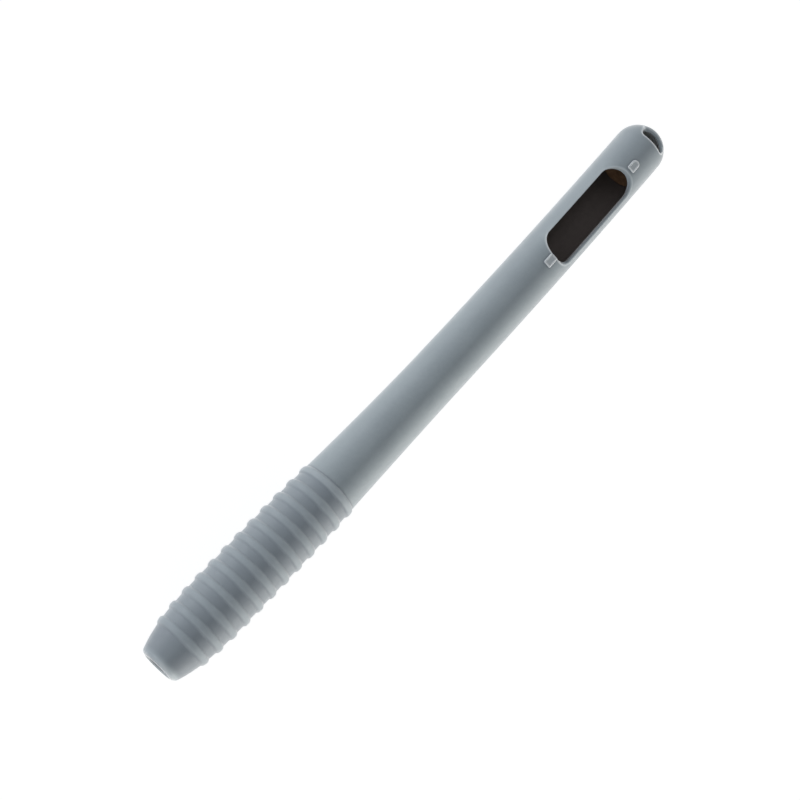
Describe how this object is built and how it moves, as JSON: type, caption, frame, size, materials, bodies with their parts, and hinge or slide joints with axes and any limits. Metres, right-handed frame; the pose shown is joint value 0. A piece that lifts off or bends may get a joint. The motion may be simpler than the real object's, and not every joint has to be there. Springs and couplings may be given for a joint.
{
  "type": "stylus sleeve",
  "caption": "Soft sleeve for a slim stylus: ribbed grip and domed barrel with a side window, both slipped over a dark liner tube with a stop at its rear end.",
  "frame": {"origin": "on the axis, at the mouth of the stylus bore, which is the liner's front end", "axes": "+X along the axis from the tip to the rear, +Z out of the window, +Y to the side"},
  "size_m": [0.152, 0.0134, 0.0134],
  "materials": {
    "liner": "near-black moulded tube, satin",
    "stop": "brown moulded plug, matt",
    "grip_silicone": "blue-grey silicone, matt with a soft sheen",
    "barrel_silicone": "blue-grey silicone, matt with a soft sheen"
  },
  "bodies": {
    "liner": {"inner_liner": "liner", "rear_stop": "stop"},
    "grip": {"grip_sleeve": "grip_silicone"},
    "barrel": {"barrel_sleeve": "barrel_silicone"}
  },
  "joints": [
    {"name": "grip_pull_off", "type": "slide", "parent": "liner", "child": "grip", "axis": [-1, 0, 0], "range_m": [0, 0.175]},
    {"name": "barrel_pull_off", "type": "slide", "parent": "liner", "child": "barrel", "axis": [1, 0, 0], "range_m": [0, 0.1]}
  ]
}
